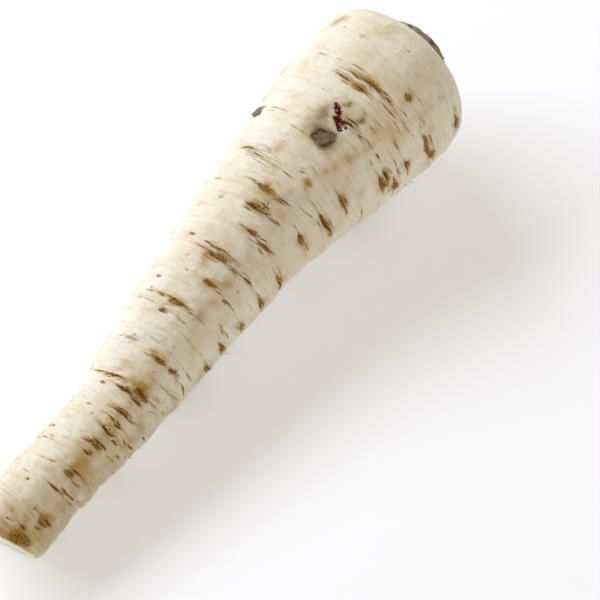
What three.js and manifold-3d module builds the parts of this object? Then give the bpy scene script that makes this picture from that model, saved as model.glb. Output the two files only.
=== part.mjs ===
// A parsley root as it is sold: a pale tap root that tapers from a broad, round shoulder to a slanted
// knife cut where its thin tip was, with the trimmed bases of its leaf stalks dried onto the crown.
// Millimetres, +Z up. It lies on the plane z = 0 with its length along X and its crown towards +X.

import * as THREE from 'three';
import { mergeVertices } from 'three/addons/utils/BufferGeometryUtils.js';
import Module from 'manifold-3d';

const wasm = await Module();
wasm.setup();

// Driving dimensions. Distances run along the root from the middle of its tip, and angles run
// round it in degrees, from 0 on top over 90 on its right side to 180 underneath.

const TIP_X = -89.15;             // X of distance 0
const TRIM_LEAN = 18.5;           // the tip's cut leans back under the root by this angle
const TRIM_SKEW = 6;              // and is turned to the right by this angle
const TRIM_AT = -3.4;             // distance where the cut crosses the root's middle line

const SHOULDER_AT = 168;          // distance where the shoulder starts to round over
const SHOULDER_LENGTH = 10.2;     // how far it rounds over
const SHOULDER_RADIUS = 24.4;
const SEAT_RADIUS = 12;           // the shallow seat that the leaf stalks grew from
const SHOULDER_FULL_ALONG = 2.5;  // how square the rounding is, along and across
const SHOULDER_FULL_ACROSS = 3;
const SEAT_DEPTH = 2;
const SEAT_PROFILE = [            // radius, height above the seat's rim
  [SEAT_RADIUS - 1.2, -0.9], [SEAT_RADIUS - 2.6, -SEAT_DEPTH], [0, -SEAT_DEPTH],
];
const CLEARANCE = 0.35;           // left between the root and its crown

// Diameter at each distance.
const GIRTHS = [
  [-12, 21], [0, 21.2], [30, 21.4], [45, 23.7], [60, 27.2], [75, 29.3], [90, 32],
  [105, 34.2], [120, 39], [135, 43.2], [150, 47.5], [160, 49.4], [168, 48.8],
];

// Where the middle line runs across (Y) and up (Z) at each distance.
const SWAYS = [
  [-12, 8.7], [0, 7.1], [20, 4.5], [40, 3], [60, 3.9], [100, 4.6], [120, 4], [140, 1.8],
  [160, 0.2], [190, -2.4],
];
const RISES = [
  [-12, 9.2], [0, 10.2], [40, 13.6], [80, 17.1], [120, 21], [160, 24.5], [190, 26.3],
];

// Swells: distance, angle, half length, half span in degrees, height.
const SWELLS = [
  [3, 112, 8, 42, 1.7],
  [16, 285, 7, 50, 0.3],
  [52, 200, 14, 60, 0.5],
  [97, 170, 18, 50, 0.4],
  [143, 235, 12, 45, 0.5],
  [163, 292, 8, 30, 0.5], [55, 290, 22, 50, -0.35],
  [166, 98, 12, 35, 0.6],
];

// Creases and scars that cross the skin: distance, middle angle, half span in degrees, depth.
const CREASES = [
  [6.5, 58, 16, 0.3], [15.3, 45, 28, 0.4], [20, 45, 24, 0.4], [29.3, 34, 22, 0.6],
  [34.3, 40, 22, 0.6], [39.8, 30, 20, 0.5], [45.3, 25, 26, 0.8], [50, 75, 26, 0.3],
  [57, 45, 20, 0.5], [66.5, 94, 26, 0.5], [72.5, 20, 30, 0.5], [75.7, 78, 24, 0.4],
  [81.8, 32, 30, 0.5], [89.6, 30, 32, 0.6], [98.1, 86, 18, 0.4], [100.4, 34, 20, 0.5],
  [107.1, 16, 20, 0.5], [112.6, 15, 20, 0.5], [118.8, 74, 22, 0.6], [120, -16, 26, 0.3],
  [132.5, -54, 14, 0.6], [134, 16, 14, 0.5], [140.8, 18, 18, 0.9], [139.3, 82, 20, 0.5],
  [147.2, 74, 20, 0.4], [150.1, 10, 26, 0.5], [153, 15, 32, 0.5], [155.5, 80, 24, 0.5],
  [11, 190, 50, 0.4], [24.5, 230, 60, 0.4], [37, 165, 45, 0.5], [48.5, 255, 45, 0.5],
  [61.5, 205, 60, 0.5], [69.5, 280, 30, 0.4], [79, 175, 45, 0.5], [92.5, 240, 55, 0.5],
  [104, 195, 50, 0.5], [115, 265, 40, 0.5], [126, 180, 60, 0.5], [136.5, 250, 45, 0.5],
  [145.5, 195, 50, 0.5], [158.5, 150, 45, 0.5], [162, 285, 35, 0.4],
];
const CREASE_HALF_WIDTH = 0.9;
const LOOSE_SKIN = 0.16;          // low waves that run round the root between the creases

// The crown: a collar of old stalk bases that spreads over the seat's rim, and the stubs in it.
const COLLAR_PROFILE = [          // radius, height above the seat's rim
  [8.8, -SEAT_DEPTH + CLEARANCE], [10, -0.7], [10.6, 0.5], [11.1, 0.9], [11, 1.4],
  [10.5, 1.9], [10.9, 2.6], [10.8, 3.3], [10.3, 3.8], [10.5, 4.5], [10.1, 5.2],
  [9.4, 5.5], [9, 4.4], [8.5, 3], [7.2, 2.4],
];
const CROWN_OFFSET = -0.8;        // how far the crown grew to the right of the seat's middle
const STUBS = [                   // angle, radius of its place, outer radius, height of its cut
  [20, 5.8, 2.8, 5.9], [92, 6.1, 2.6, 5.4], [163, 5.7, 2.8, 7.4], [235, 6, 2.6, 6.8],
  [306, 5.8, 2.7, 6.5], [60, 1.7, 1.6, 6.6], [215, 1.8, 1.7, 7.4],
];
const STUB_WRAP = 230;            // how far a stub's wall reaches round its groove, in degrees
const STUB_WALL = 1.2;
const STUB_FOOT = 1.8;            // height at which the stubs leave the collar's floor

const ROW_STEP = 2.6;             // mesh rows along the root
const COLUMNS = 48;               // mesh columns round the root and its crown

// A smooth curve through [place, value] pairs, read at a place.
function through(stations, place) {
  let i = 0;
  while (i < stations.length - 2 && place > stations[i + 1][0]) i += 1;
  const slope = (j) => {
    const [before, after] = [stations[Math.max(j - 1, 0)], stations[Math.min(j + 1, stations.length - 1)]];
    return (after[1] - before[1]) / (after[0] - before[0]);
  };
  const [[start, low], [end, high]] = [stations[i], stations[i + 1]];
  const span = end - start;
  const t = (place - start) / span;
  const arrive = t * t * (3 - 2 * t);
  return low + (high - low) * arrive
    + span * t * (1 - t) * ((1 - t) * slope(i) - t * slope(i + 1));
}

function bell(x) {
  return Math.exp(-x * x);
}

// The shortest way round from one angle to another, in degrees.
function turn(from, to) {
  return THREE.MathUtils.euclideanModulo(to - from + 180, 360) - 180;
}

// The even body of the root, before its skin's relief.
function bodyRadius(distance) {
  return through(GIRTHS, distance) / 2;
}

// How far the skin stands out from the even body at a distance and an angle.
function relief(distance, angle) {
  const round = THREE.MathUtils.degToRad(angle);
  let out = 0.22 * Math.cos(2 * round + 0.03 * distance) + 0.12 * Math.cos(3 * round - 0.05 * distance);
  out += LOOSE_SKIN * Math.sin(0.62 * distance + 1.3 * Math.sin(round + 0.02 * distance));
  for (const [place, middle, halfLength, halfSpan, height] of SWELLS) {
    out += height * bell((distance - place) / halfLength) * bell(turn(middle, angle) / halfSpan);
  }
  for (const [place, middle, halfSpan, depth] of CREASES) {
    const across = (distance - place) / CREASE_HALF_WIDTH;
    out -= depth * bell(across) * bell((turn(middle, angle) / halfSpan) ** 2);
  }
  return out;
}

function middleLine(distance) {
  return new THREE.Vector3(TIP_X + distance, through(SWAYS, distance), through(RISES, distance));
}

// Carries a point from the straight root (right, distance, up) to its place on the middle line.
function ontoMiddleLine(point) {
  const here = middleLine(point.y);
  const forward = middleLine(point.y + 0.5).sub(middleLine(point.y - 0.5)).normalize();
  const right = forward.clone().cross(new THREE.Vector3(0, 0, 1)).normalize();
  const up = right.clone().cross(forward);
  return here.addScaledVector(right, point.x).addScaledVector(up, point.z);
}

// A closed mesh with its shared corners merged and its empty triangles left out.
function weld(geometry) {
  const bare = geometry.clone();
  bare.deleteAttribute('normal');
  bare.deleteAttribute('uv');
  const welded = mergeVertices(bare, 1e-4);
  const corners = welded.index.array;
  const kept = [];
  for (let i = 0; i < corners.length; i += 3) {
    const [a, b, c] = corners.slice(i, i + 3);
    if (a !== b && b !== c && c !== a) kept.push(a, b, c);
  }
  welded.setIndex(kept);
  return welded;
}

function movePoints(geometry, move) {
  const positions = geometry.attributes.position;
  const point = new THREE.Vector3();
  for (let i = 0; i < positions.count; i += 1) {
    point.fromBufferAttribute(positions, i);
    positions.setXYZ(i, ...move(point).toArray());
  }
  return geometry;
}

function solidOf(geometry) {
  return new wasm.Manifold(new wasm.Mesh({
    numProp: 3,
    vertProperties: new Float32Array(geometry.attributes.position.array),
    triVerts: new Uint32Array(geometry.index.array),
  }));
}

function meshOf(solid, name, material) {
  const { vertProperties, triVerts } = solid.getMesh();
  const geometry = new THREE.BufferGeometry();
  geometry.setAttribute('position', new THREE.BufferAttribute(vertProperties, 3));
  geometry.setIndex(new THREE.BufferAttribute(triVerts, 1));
  geometry.computeVertexNormals();
  const mesh = new THREE.Mesh(geometry, material);
  mesh.name = name;
  return mesh;
}

// A block whose near face lies on a plane, big enough to take away all that is past it.
function blockPast(point, normal) {
  const size = 400;
  const block = new THREE.BoxGeometry(size, size, size);
  block.translate(0, 0, size / 2);
  block.applyQuaternion(new THREE.Quaternion().setFromUnitVectors(new THREE.Vector3(0, 0, 1), normal));
  block.translate(...point.toArray());
  return solidOf(weld(block));
}

// How wide the shoulder still is after a share of its rounding.
function shoulderRadius(share) {
  return SHOULDER_RADIUS * (1 - share ** SHOULDER_FULL_ALONG) ** (1 / SHOULDER_FULL_ACROSS);
}

// The seat's rim lies where the rounding shoulder has come in to the seat's radius.
const seatShare = (SEAT_RADIUS / SHOULDER_RADIUS) ** SHOULDER_FULL_ACROSS;
const RIM_SHARE = (1 - seatShare) ** (1 / SHOULDER_FULL_ALONG);
const RIM_AT = SHOULDER_AT + SHOULDER_LENGTH * RIM_SHARE;

// Rows along the root: one in the bottom of each crease, and even ones between them.
function bodyRows() {
  const creases = CREASES.map(([place]) => place);
  const rows = [...creases];
  for (let distance = GIRTHS[0][0]; distance < SHOULDER_AT; distance += ROW_STEP) {
    if (creases.every((place) => Math.abs(place - distance) > CREASE_HALF_WIDTH)) rows.push(distance);
  }
  return rows.sort((a, b) => a - b);
}

// The tap root: a turned body with the relief of its skin, bent along its middle line, trimmed at
// the tip and worn flat where it rests.
function tapRoot() {
  const rows = bodyRows();
  const profile = [new THREE.Vector2(0, rows[0])];
  for (const distance of rows) profile.push(new THREE.Vector2(bodyRadius(distance), distance));
  for (const share of [0, 0.25, 0.45, 0.62, 0.76, 0.86, 0.93, RIM_SHARE]) {
    profile.push(new THREE.Vector2(shoulderRadius(share), SHOULDER_AT + share * SHOULDER_LENGTH));
  }
  for (const [radius, height] of SEAT_PROFILE) profile.push(new THREE.Vector2(radius, RIM_AT + height));

  const body = movePoints(weld(new THREE.LatheGeometry(profile, COLUMNS)), (point) => {
    const radius = Math.hypot(point.x, point.z);
    const angle = THREE.MathUtils.radToDeg(Math.atan2(point.x, point.z));
    const share = THREE.MathUtils.smoothstep(radius, SEAT_RADIUS, 0.75 * SHOULDER_RADIUS);
    const reach = point.y < SHOULDER_AT ? 1 : share;
    const grown = radius > 0 ? 1 + reach * relief(point.y, angle) / radius : 1;
    return ontoMiddleLine(new THREE.Vector3(point.x * grown, point.y, point.z * grown));
  });

  const lean = THREE.MathUtils.degToRad(TRIM_LEAN);
  const skew = THREE.MathUtils.degToRad(TRIM_SKEW);
  const trimFace = new THREE.Vector3(-Math.cos(lean), -Math.sin(skew), -Math.sin(lean)).normalize();
  return solidOf(body)
    .subtract(blockPast(middleLine(TRIM_AT), trimFace))
    .subtract(blockPast(new THREE.Vector3(), new THREE.Vector3(0, 0, -1)));
}

// The collar: rings of old stalk bases that wrap round one another, so each ring waves and tilts.
// It is a little three-sided, and highest on its upper right.
function stalkCollar() {
  const profile = [new THREE.Vector2(0, COLLAR_PROFILE[0][1])];
  for (const [radius, height] of COLLAR_PROFILE) profile.push(new THREE.Vector2(radius, height));
  profile.push(new THREE.Vector2(0, COLLAR_PROFILE.at(-1)[1]));
  return movePoints(weld(new THREE.LatheGeometry(profile, COLUMNS)), (point) => {
    const round = Math.atan2(point.x, point.z);
    const free = THREE.MathUtils.smoothstep(point.y, 0.8, 2);
    const lump = 0.18 * Math.cos(3 * round + 4.2) + 0.06 * Math.sin(8 * round - 2 * point.y);
    const grown = 1 + free * lump / Math.max(Math.hypot(point.x, point.z), 6);
    const tilt = 0.12 * Math.cos(round - 1.1) + 0.08 * Math.sin(2 * round + 1.9 * point.y);
    const height = point.y + free * tilt;
    return new THREE.Vector3(point.x * grown + CROWN_OFFSET, RIM_AT + height, point.z * grown);
  });
}

// A stalk stub: a C-shaped stem with its groove towards the middle of the crown, cut off square.
function stalkStub([angle, place, outer, top]) {
  const section = new THREE.Shape();
  const half = THREE.MathUtils.degToRad(STUB_WRAP / 2);
  section.absarc(0, 0, outer, -half, half, false);
  section.absarc(0, 0, outer - STUB_WALL, half, -half, true);
  const stub = new THREE.ExtrudeGeometry(section, {
    depth: top - STUB_FOOT, curveSegments: 8, bevelEnabled: false,
  });
  const round = THREE.MathUtils.degToRad(angle);
  stub.rotateX(-Math.PI / 2);
  stub.rotateY(round - Math.PI / 2);
  stub.translate(CROWN_OFFSET + place * Math.sin(round), RIM_AT + STUB_FOOT, place * Math.cos(round));
  return weld(stub);
}

// The whole crown, grown together at its foot into one solid.
function leafStalkCrown() {
  let crown = solidOf(movePoints(stalkCollar(), ontoMiddleLine));
  for (const stub of STUBS) crown = crown.add(solidOf(movePoints(stalkStub(stub), ontoMiddleLine)));
  return crown;
}

const rootSkin = new THREE.MeshStandardMaterial({ color: 0xe6dcc4, roughness: 0.55, metalness: 0 });
const dryStalk = new THREE.MeshStandardMaterial({ color: 0x6e5a40, roughness: 0.95, metalness: 0 });

const parsleyRoot = new THREE.Group();
parsleyRoot.name = 'parsley_root';
parsleyRoot.add(meshOf(tapRoot(), 'root', rootSkin));
parsleyRoot.add(meshOf(leafStalkCrown(), 'leaf_stalk_crown', dryStalk));

export default parsleyRoot;
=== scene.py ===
import math
import random

import bmesh
import bpy
import numpy as np
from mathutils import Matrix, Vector, noise


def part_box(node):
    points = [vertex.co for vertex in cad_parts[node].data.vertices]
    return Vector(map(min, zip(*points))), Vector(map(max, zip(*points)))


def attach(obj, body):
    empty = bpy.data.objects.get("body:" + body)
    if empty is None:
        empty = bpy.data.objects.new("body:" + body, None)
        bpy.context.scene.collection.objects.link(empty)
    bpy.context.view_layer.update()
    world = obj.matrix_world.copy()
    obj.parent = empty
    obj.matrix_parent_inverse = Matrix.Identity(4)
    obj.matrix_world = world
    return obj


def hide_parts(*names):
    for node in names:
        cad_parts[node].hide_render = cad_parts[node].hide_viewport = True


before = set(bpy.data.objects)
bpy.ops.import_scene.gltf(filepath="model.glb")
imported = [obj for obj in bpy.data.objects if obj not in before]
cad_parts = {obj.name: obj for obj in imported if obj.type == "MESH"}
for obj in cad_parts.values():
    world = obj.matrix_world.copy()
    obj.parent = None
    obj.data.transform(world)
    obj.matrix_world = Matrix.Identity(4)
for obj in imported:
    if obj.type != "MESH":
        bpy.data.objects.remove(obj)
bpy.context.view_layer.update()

# ---------------------------------------------------------------------------------------------
# The camera looks down on the root from its right side, with the tip near and the crown far.
# A long lens, seven tenths of a metre away, keeps the taper natural.

VIEW_TURN = math.radians(-55.7)
VIEW_DOWN = math.radians(56)
VIEW_DISTANCE = 0.7
VIEW_MIDDLE = Vector((0.0101, -0.0178, 0.0144))

lens = bpy.data.cameras.new("camera")
lens.sensor_width = 36
lens.lens = 154.6
camera = bpy.data.objects.new("camera", lens)
camera.rotation_euler = (math.pi / 2 - VIEW_DOWN, 0, VIEW_TURN)
toward_root = camera.rotation_euler.to_matrix() @ Vector((0, 0, -1))
camera.location = VIEW_MIDDLE - VIEW_DISTANCE * toward_root
bpy.context.scene.collection.objects.link(camera)
bpy.context.scene.camera = camera

# ---------------------------------------------------------------------------------------------
# The tap root: one fleshy piece, grown whole, that tapers from a broad round shoulder. A slanted
# knife cut took its thin tip, and a shallow seat in the shoulder is where the leaves stood.
# Lengths are in millimetres. Distances run along the root from the middle of its tip, and angles
# run round it in degrees, from 0 on top over 90 on its right side to 180 underneath.

MM = 0.001
TIP_X = -89.15
TRIM_LEAN = math.radians(18.5)
TRIM_SKEW = math.radians(6)
TRIM_AT = -3.4
TRIM_STEPS = 12
SHOULDER_AT = 168
SHOULDER_LENGTH = 10.2
SHOULDER_RADIUS = 24.4
SHOULDER_FULL_ALONG = 2.5
SHOULDER_FULL_ACROSS = 3
SEAT_RADIUS = 12
SEAT_DEPTH = 2

# Pairs of distance and value: how wide the root is, and how far its middle lies to the left
# and above the table.
GIRTHS = [
    (-12, 21), (0, 21.2), (30, 21.4), (45, 23.7), (60, 27.2), (75, 29.3), (90, 32), (105, 34.2),
    (120, 39), (135, 43.2), (150, 47.5), (160, 49.4), (168, 48.8),
]
SWAYS = [
    (-12, 8.7), (0, 7.1), (20, 4.5), (40, 3), (60, 3.9), (100, 4.6), (120, 4), (140, 1.8), (160, 0.2),
    (190, -2.4),
]
RISES = [
    (-12, 9.2), (0, 10.2), (40, 13.6), (80, 17.1), (120, 21), (160, 24.5), (190, 26.3),
]
# Slow swells: distance, angle, half length, half span, height.
SWELLS = [
    (3, 112, 8, 42, 1.7), (16, 285, 7, 50, 0.3), (52, 200, 14, 60, 0.5), (97, 170, 18, 50, 0.4),
    (143, 235, 12, 45, 0.5), (163, 292, 8, 30, 0.5), (55, 290, 22, 50, -0.35), (166, 98, 12, 35, 0.6),
]
LOOSE_SKIN = 0.16
SKIN_SUNK = 0.05
CUT_FACE_SUNK = 0.06
CUT_FACE_INSET = 0.42
CUT_RING_AT = 0.58
RIM_WORN_BY = 0.4
RIM_WORN_OVER = 1.6

COLUMNS = 160
FACE_ROWS = 22
BODY_ROWS = 515
SHOULDER_ROWS = 38
SEAT_ROWS = 14
ROWS = FACE_ROWS + BODY_ROWS + SHOULDER_ROWS + SEAT_ROWS


def through(stations, place):
    """A smooth curve through (place, value) pairs, read at an array of places."""
    at, value = np.array(stations, float).T
    before = np.maximum(np.arange(len(at)) - 1, 0)
    after = np.minimum(np.arange(len(at)) + 1, len(at) - 1)
    slope = (value[after] - value[before]) / (at[after] - at[before])
    i = np.clip(np.searchsorted(at, place) - 1, 0, len(at) - 2)
    span = at[i + 1] - at[i]
    t = (place - at[i]) / span
    arrive = t * t * (3 - 2 * t)
    bow = span * t * (1 - t) * ((1 - t) * slope[i] - t * slope[i + 1])
    return value[i] + (value[i + 1] - value[i]) * arrive + bow


def bell(x):
    return np.exp(-x * x)


def turn(middle, angle):
    """The shortest way round from one angle to another, in degrees."""
    return (angle - middle + 180) % 360 - 180


def smooth(low, high, x):
    t = np.clip((x - low) / (high - low), 0, 1)
    return t * t * (3 - 2 * t)


def grain(along, across, up, size, seed):
    """Smooth random values from about -1 to 1 that change over the sizes given."""
    scaled = np.stack([along / size[0], across / size[1], up / size[2]], -1) + seed * 17.3
    return np.array([noise.noise(Vector(point)) for point in scaled])


def middle_line(distance):
    return np.stack([TIP_X + distance, through(SWAYS, distance), through(RISES, distance)], -1)


def onto_middle_line(right, distance, up):
    """Carries points of the straight root to their places on the bent one."""
    forward = middle_line(distance + 0.5) - middle_line(distance - 0.5)
    forward /= np.linalg.norm(forward, axis=-1, keepdims=True)
    rightward = np.cross(forward, (0, 0, 1))
    rightward /= np.linalg.norm(rightward, axis=-1, keepdims=True)
    upward = np.cross(rightward, forward)
    return middle_line(distance) + right[:, None] * rightward + up[:, None] * upward


def even_radius(distance):
    return through(GIRTHS, np.minimum(distance, SHOULDER_AT)) / 2


def broad_relief(distance, angle):
    """The slow swells and hollows of the root, before its creases and scars."""
    round_ = np.radians(angle)
    out = 0.22 * np.cos(2 * round_ + 0.03 * distance) + 0.12 * np.cos(3 * round_ - 0.05 * distance)
    out += LOOSE_SKIN * np.sin(0.62 * distance + 1.3 * np.sin(round_ + 0.02 * distance))
    for place, middle, half_length, half_span, height in SWELLS:
        out += height * bell((distance - place) / half_length) * bell(turn(middle, angle) / half_span)
    return out


trim_normal = np.array([-math.cos(TRIM_LEAN), -math.sin(TRIM_SKEW), -math.sin(TRIM_LEAN)])
trim_normal /= np.linalg.norm(trim_normal)
trim_middle = middle_line(np.array([TRIM_AT]))[0]


def trimmed_at(angle, share):
    """The distance at which the knife's plane meets the root at an angle and a share of its radius."""
    distance = np.full(len(angle), float(TRIM_AT))
    round_ = np.radians(angle)
    for _ in range(TRIM_STEPS):
        radius = share * (even_radius(distance) + broad_relief(distance, angle))
        spot = onto_middle_line(radius * np.sin(round_), distance, radius * np.cos(round_))
        distance -= (spot - trim_middle) @ trim_normal / trim_normal[0]
    return distance


def rising_edges(shape, least=0.5):
    return [edge for edge in shape.edges if abs(edge.verts[0].co.z - edge.verts[1].co.z) > least]


def into_mesh(shape, name):
    mesh = bpy.data.meshes.new(name)
    shape.to_mesh(mesh)
    shape.free()
    return mesh


def rolled_net(name, columns, rows):
    """A fine net of rows and columns, rolled up as an open tube, and the places of its corners."""
    net = bmesh.new()
    bmesh.ops.create_cone(net, cap_ends=False, segments=columns, radius1=1, radius2=1, depth=1)
    bmesh.ops.subdivide_edges(net, edges=rising_edges(net), cuts=rows - 2, use_grid_fill=True)
    mesh = into_mesh(net, name)
    places = np.empty(len(mesh.vertices) * 3)
    mesh.vertices.foreach_get("co", places)
    return mesh, places.reshape(-1, 3)


def closed_up(mesh):
    """Joins a net's seam and poles, closes its open end, and turns its faces outwards."""
    shape = bmesh.new()
    shape.from_mesh(mesh)
    bmesh.ops.remove_doubles(shape, verts=shape.verts, dist=1e-6)
    open_edges = [edge for edge in shape.edges if edge.is_boundary]
    bmesh.ops.holes_fill(shape, edges=open_edges, sides=0)
    bmesh.ops.recalc_face_normals(shape, faces=shape.faces)
    for face in shape.faces:
        face.smooth = True
    shape.to_mesh(mesh)
    shape.free()
    return mesh


def set_out(mesh):
    piece = bpy.data.objects.new(mesh.name, mesh)
    bpy.context.scene.collection.objects.link(piece)
    return piece


root_mesh, corners = rolled_net("tap_root", COLUMNS, ROWS)
row = np.rint((corners[:, 2] + 0.5) * (ROWS - 1)).astype(int)
angle = np.degrees(np.arctan2(corners[:, 0], corners[:, 1]))

on_face = row < FACE_ROWS
on_shoulder = (row >= FACE_ROWS + BODY_ROWS) & (row < ROWS - SEAT_ROWS)
in_seat = row >= ROWS - SEAT_ROWS
on_body = ~(on_face | on_shoulder | in_seat)

# The cut face, whose rows close in towards its rim.
face_share = 1 - np.clip(1 - row / FACE_ROWS, 0, 1) ** 1.6
cut_at = trimmed_at(angle, face_share)
rim_at = trimmed_at(angle, np.ones(len(angle)))
distance = np.where(on_face, cut_at, 0)
radius = np.where(on_face, face_share * (even_radius(rim_at) + broad_relief(rim_at, angle)), 0)

# The body, whose rows run from the slanted rim to the shoulder.
body_share = (row - FACE_ROWS) / BODY_ROWS
distance = np.where(on_body, rim_at + body_share * (SHOULDER_AT - rim_at), distance)

# The shoulder rounds over to the seat's rim, and the seat is a shallow dish.
rim_share = (1 - (SEAT_RADIUS / SHOULDER_RADIUS) ** SHOULDER_FULL_ACROSS) ** (1 / SHOULDER_FULL_ALONG)
seat_rim_at = SHOULDER_AT + SHOULDER_LENGTH * rim_share
over = (row - FACE_ROWS - BODY_ROWS) / SHOULDER_ROWS
over_share = rim_share * np.sin(np.clip(over, 0, 1) * math.pi / 2) ** 0.9
shoulder_radius = SHOULDER_RADIUS * (
    (1 - over_share ** SHOULDER_FULL_ALONG) ** (1 / SHOULDER_FULL_ACROSS))
distance = np.where(on_shoulder, SHOULDER_AT + SHOULDER_LENGTH * over_share, distance)
inward = (row - (ROWS - SEAT_ROWS)) / (SEAT_ROWS - 1)
seat_radius = SEAT_RADIUS * (1 - np.clip(inward, 0, 1))
seat_dip = SEAT_DEPTH * smooth(0, 2.6, SEAT_RADIUS - seat_radius)
distance = np.where(in_seat, seat_rim_at - seat_dip, distance)

even = np.where(on_body, even_radius(distance), np.where(on_shoulder, shoulder_radius, seat_radius))
reach = np.where(on_body, 1, smooth(SEAT_RADIUS, 0.75 * SHOULDER_RADIUS, even))
reach = np.where(on_face | in_seat, 0, reach)
round_ = np.radians(angle)
straight = np.stack([distance, even * np.sin(round_), even * np.cos(round_)], -1)
straight[on_face, 1:] = (radius[:, None] * np.stack([np.sin(round_), np.cos(round_)], -1))[on_face]

# ---- marks of growth and wear, each placed by its distance along the root and its angle ----
# Each groove: distance, angle, half span, depth, how dark its bottom is, how far it drifts
# towards the shoulder over its half span.
GROOVES = [
    (-2.4, 42, 9, .2, .8, .2), (-1.6, 47, 9, .25, 1, .3), (-.7, 56, 9, .25, .9, .3),
    (1.4, 45, 8, .2, .9, .5), (.2, 22, 6, .2, .8, .2), (6.6, 38, 7, .15, .7, .1),
    (7.7, 38, 7, .15, .6, .1), (6.1, 58, 14, .3, .6, .3), (7.2, 68, 10, .2, .7, .2),
    (12.2, -12, 8, .1, .45, 0), (14.6, 52, 30, .4, 1.2, .5), (15.8, 60, 26, .3, 1.1, .5),
    (14.4, 44, 9, .2, .7, .3), (17.9, -10, 8, .12, .5, .3), (19, 6, 9, .15, .55, .5),
    (19, 52, 14, .2, 1, .3), (20.8, 46, 20, .3, 1.1, .2), (24.2, -22, 9, .1, .25, .2),
    (28.9, 33, 18, .6, 1, .1), (30.3, 38, 17, .35, .8, 0), (34.4, 33, 17, .5, .9, .3),
    (33.7, 54, 8, .5, 1, .1), (34.6, 60, 15, .25, .4, .1), (37, -13, 7, .1, .3, .1),
    (36.8, 38, 14, .2, .45, .2), (36.2, -56, 10, .15, .4, .3), (39.7, 20, 8, .4, 1, .3),
    (40.1, 37, 10, .4, .8, -.1), (42.6, 84, 10, .2, .4, .2), (43.3, 30, 8, .15, .4, 0),
    (44, -15, 6, .1, .35, .2), (45.2, 15, 16, .6, 1, .1), (44.8, 38, 10, .6, 1, -.1),
    (46.3, 30, 14, .3, .7, 0), (49.8, 72, 20, .3, .35, .3), (57.3, 52, 7, .4, 1, .1),
    (58, 20, 8, .2, .5, .4), (56.3, 64, 8, .2, .4, -.3), (58.1, -18, 6, .15, .35, .3),
    (66.7, 68, 5, .15, .45, 0), (66, 98, 14, .4, .8, .6), (67, 98, 14, .4, .8, .8),
    (72.5, 32, 18, .35, .55, .2), (72.3, -20, 8, .1, .3, .3), (72.5, 88, 14, .45, .8, .3),
    (75, 67, 9, .3, .7, .1), (75.8, 72, 16, .3, .6, .2), (77.5, -30, 5, .1, .4, 0),
    (81.3, 46, 18, .35, .6, -.1), (81, 46, 5, .3, .8, 0), (89, 35, 6, .25, .7, 0),
    (89.8, 55, 14, .35, .7, .1), (91.7, -52, 10, .15, .4, .5), (99.8, 44, 8, .3, .9, 0),
    (98.1, 44, 8, .25, .7, 0), (100.6, 50, 20, .2, .3, 0), (107, 30, 14, .3, .5, 0),
    (112.9, 30, 9, .3, .6, .3), (109.9, 68, 9, .35, .8, -.6), (109.3, 82, 9, .2, .5, -.1),
    (115.4, 50, 9, .3, .5, .8), (119.2, 66, 8, .4, .8, .4), (118.3, -20, 10, .12, .4, .5),
    (119.5, -14, 9, .12, .6, .5), (120.3, -28, 9, .15, .6, .4), (120.8, -12, 10, .12, .5, .5),
    (121.6, -22, 12, .1, .35, .5), (117.8, -4, 8, .1, .35, .4), (119.1, 6, 7, .1, .3, .2),
    (120.6, 8, 6, .1, .3, .2), (122.5, 25, 5, .1, .4, 1), (123.6, 25, 4, .1, .4, 1),
    (131, -50, 5, .3, .9, .6), (133.6, -38, 12, .12, .5, .2), (132.4, -34, 8, .12, .45, .2),
    (134, -22, 3, .1, .4, .2), (141.8, 22, 9, .4, .9, .2), (140.3, 33, 8, .3, .6, .1),
    (141.1, 42, 8, .25, .6, 0), (139, 55, 5, .2, .5, 0), (141.2, 55, 4, .2, .5, 0),
    (139, 78, 8, .4, .9, .2), (140.7, 76, 7, .4, 1, .2), (143, 88, 8, .4, .8, .2),
    (144.6, 80, 6, .25, .7, .1), (147, 61, 5, .25, .6, .2), (149.4, 8, 14, .3, .5, .2),
    (150.4, 10, 17, .4, .7, .2), (151, 0, 9, .2, .4, .2), (152.1, 8, 14, .3, .7, .2),
    (152.8, 25, 22, .35, .7, 0), (153.6, 18, 20, .35, .6, .1), (154.6, 8, 13, .25, .5, .3),
    (153, 45, 12, .2, .4, 0), (154.9, 68, 10, .3, .6, .1), (155.6, 74, 14, .3, .6, .2),
    (157, 74, 6, .25, .7, .1), (156.2, 88, 9, .35, .6, .3), (168, 84, 12, .3, .9, .2),
    (169.6, -38, 5, .1, .4, .8), (174, -58, 7, .1, .35, .3), (151.2, 42, 20, .15, .5, .3),
    (152.3, 50, 18, .15, .55, .3), (149.9, 44, 16, .12, .45, .3), (153.8, 44, 15, .12, .45, .3),
    (148.6, 34, 14, .12, .4, .2), (36.5, 82, 12, .2, .7, .2), (40.3, 92, 9, .2, .7, .2),
    (32.5, 80, 10, .2, .6, .3), (34, 92, 8, .2, .8, .2), (30, 66, 12, .2, .55, .2),
    (23, 74, 11, .2, .55, .3), (25.5, 84, 10, .2, .5, .2), (17, 80, 12, .15, .5, .3),
    (45.5, 68, 12, .15, .5, .2), (48, 88, 9, .2, .6, .2), (53, 82, 10, .15, .55, .3),
]
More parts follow.
